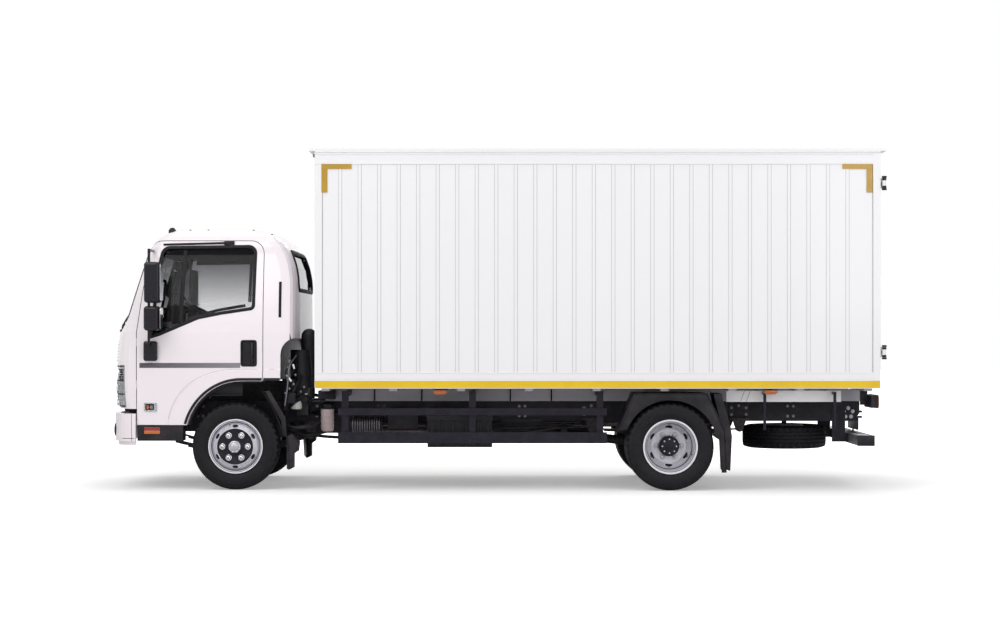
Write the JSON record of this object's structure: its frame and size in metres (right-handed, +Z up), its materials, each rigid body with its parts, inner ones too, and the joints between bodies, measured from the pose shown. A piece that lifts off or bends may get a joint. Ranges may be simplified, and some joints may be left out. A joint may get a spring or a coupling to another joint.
{
  "type": "box truck",
  "caption": "Light forward-control truck with a tilting cab and a closed rigid box body with twin rear doors, on single front and twin rear wheels.",
  "frame": {"origin": "on the ground under the middle of the truck's overall length and width", "axes": "+X forward, +Y to the truck's left, +Z up"},
  "size_m": [6.81, 2.4888, 2.986],
  "materials": {
    "chassis_black": "satin black chassis paint",
    "axle_iron": "painted castings and spring steel",
    "engine_iron": "dull grey casting",
    "exhaust_steel": "aluminised steel, dull",
    "tank_black": "black paint",
    "black_plastic": "moulded black plastic",
    "white_paint": "gloss white enamel",
    "box_paint": "white enamel on sheet steel",
    "bearer_grey": "light grey paint",
    "floor_wood": "plywood boards",
    "tyre_rubber": "black tyre rubber",
    "rim_silver": "silver wheel enamel",
    "galvanised": "galvanised steel",
    "lamp_red": "red lamp lens",
    "lamp_clear": "clear lamp lens over bright reflector",
    "window_glass": "lightly tinted safety glass",
    "seat_fabric": "woven dark grey cloth"
  },
  "bodies": {
    "chassis": {"frame_rails": "chassis_black", "crossmembers": "chassis_black", "front_axle": "axle_iron", "leaf_springs": "axle_iron", "rear_axle": "axle_iron", "engine": "engine_iron", "propeller_shaft": "axle_iron", "exhaust": "exhaust_steel", "fuel_tank": "tank_black", "battery_box": "tank_black", "air_cleaner": "black_plastic", "front_bumper": "white_paint", "floor_bearers": "bearer_grey", "cargo_floor": "floor_wood", "box_side_left": "box_paint", "box_side_right": "box_paint", "box_front_wall": "box_paint", "box_roof": "box_paint", "rear_door_frame": "box_paint", "side_guards": "chassis_black", "mudguards": "black_plastic", "spare_wheel": "tyre_rubber", "underrun_bar": "galvanised", "rear_lamps": "lamp_red"},
    "cab": {"cab_shell": "white_paint", "cab_front_panel": "white_paint", "cab_glass": "window_glass", "seats": "seat_fabric", "dashboard": "black_plastic", "steering_column": "black_plastic", "cab_steps": "black_plastic", "headlamps": "lamp_clear"},
    "steering_wheel": {"steering_wheel": "black_plastic"},
    "cab_door_left": {"cab_door_left": "white_paint", "door_glass_left": "window_glass", "mirrors_left": "black_plastic"},
    "cab_door_right": {"cab_door_right": "white_paint", "door_glass_right": "window_glass", "mirrors_right": "black_plastic"},
    "knuckle_left": {"knuckle_left": "axle_iron"},
    "knuckle_right": {"knuckle_right": "axle_iron"},
    "tie_rod": {"tie_rod": "axle_iron"},
    "front_wheel_left": {"front_wheel_left": "rim_silver", "front_tyre_left": "tyre_rubber"},
    "front_wheel_right": {"front_wheel_right": "rim_silver", "front_tyre_right": "tyre_rubber"},
    "rear_wheels_left": {"rear_wheels_left": "rim_silver", "rear_tyres_left": "tyre_rubber"},
    "rear_wheels_right": {"rear_wheels_right": "rim_silver", "rear_tyres_right": "tyre_rubber"},
    "rear_door_left": {"rear_door_left": "box_paint"},
    "rear_door_right": {"rear_door_right": "box_paint"}
  },
  "joints": [
    {"name": "cab_tilt", "type": "hinge", "parent": "chassis", "child": "cab", "pos_m": [3.345, 0, 0.69], "axis": [0, 1, 0], "range_deg": [0, 45]},
    {"name": "cab_door_left_hinge", "type": "hinge", "parent": "cab", "child": "cab_door_left", "pos_m": [3.146, 1, 1.3], "axis": [0, 0, -1], "range_deg": [0, 70]},
    {"name": "cab_door_right_hinge", "type": "hinge", "parent": "cab", "child": "cab_door_right", "pos_m": [3.146, -1, 1.3], "axis": [0, 0, 1], "range_deg": [0, 70]},
    {"name": "steer_left", "type": "hinge", "parent": "chassis", "child": "knuckle_left", "pos_m": [2.285, 0.7145, 0.3835], "axis": [0, 0, 1], "range_deg": [-35, 35]},
    {"name": "steer_right", "type": "hinge", "parent": "chassis", "child": "knuckle_right", "pos_m": [2.285, -0.7145, 0.3835], "axis": [0, 0, 1], "range_deg": [-35, 35]},
    {"name": "tie_rod_eye", "type": "hinge", "parent": "knuckle_left", "child": "tie_rod", "pos_m": [2.095, 0.7145, 0.2535], "axis": [0, 0, 1], "range_deg": [-35, 35]},
    {"name": "steering_wheel_turn", "type": "hinge", "parent": "cab", "child": "steering_wheel", "pos_m": [2.615, 0.5, 1.559], "axis": [-0.4695, 0, 0.8829], "range_deg": [-420, 420]},
    {"name": "front_wheel_left_spin", "type": "hinge", "parent": "knuckle_left", "child": "front_wheel_left", "pos_m": [2.285, 0.84, 0.3835], "axis": [0, 1, 0], "continuous": true},
    {"name": "front_wheel_right_spin", "type": "hinge", "parent": "knuckle_right", "child": "front_wheel_right", "pos_m": [2.285, -0.84, 0.3835], "axis": [0, 1, 0], "continuous": true},
    {"name": "rear_wheels_left_spin", "type": "hinge", "parent": "chassis", "child": "rear_wheels_left", "pos_m": [-1.53, 0.825, 0.3835], "axis": [0, 1, 0], "continuous": true},
    {"name": "rear_wheels_right_spin", "type": "hinge", "parent": "chassis", "child": "rear_wheels_right", "pos_m": [-1.53, -0.825, 0.3835], "axis": [0, 1, 0], "continuous": true},
    {"name": "rear_door_left_hinge", "type": "hinge", "parent": "chassis", "child": "rear_door_left", "pos_m": [-3.385, 1.11, 1.9], "axis": [0, 0, -1], "range_deg": [0, 270]},
    {"name": "rear_door_right_hinge", "type": "hinge", "parent": "chassis", "child": "rear_door_right", "pos_m": [-3.385, -1.11, 1.9], "axis": [0, 0, 1], "range_deg": [0, 270]}
  ],
  "couplings": [
    {"joint": "steer_right", "follows": "steer_left", "ratio": 1},
    {"joint": "tie_rod_eye", "follows": "steer_left", "ratio": -1},
    {"joint": "steering_wheel_turn", "follows": "steer_left", "ratio": 12}
  ]
}
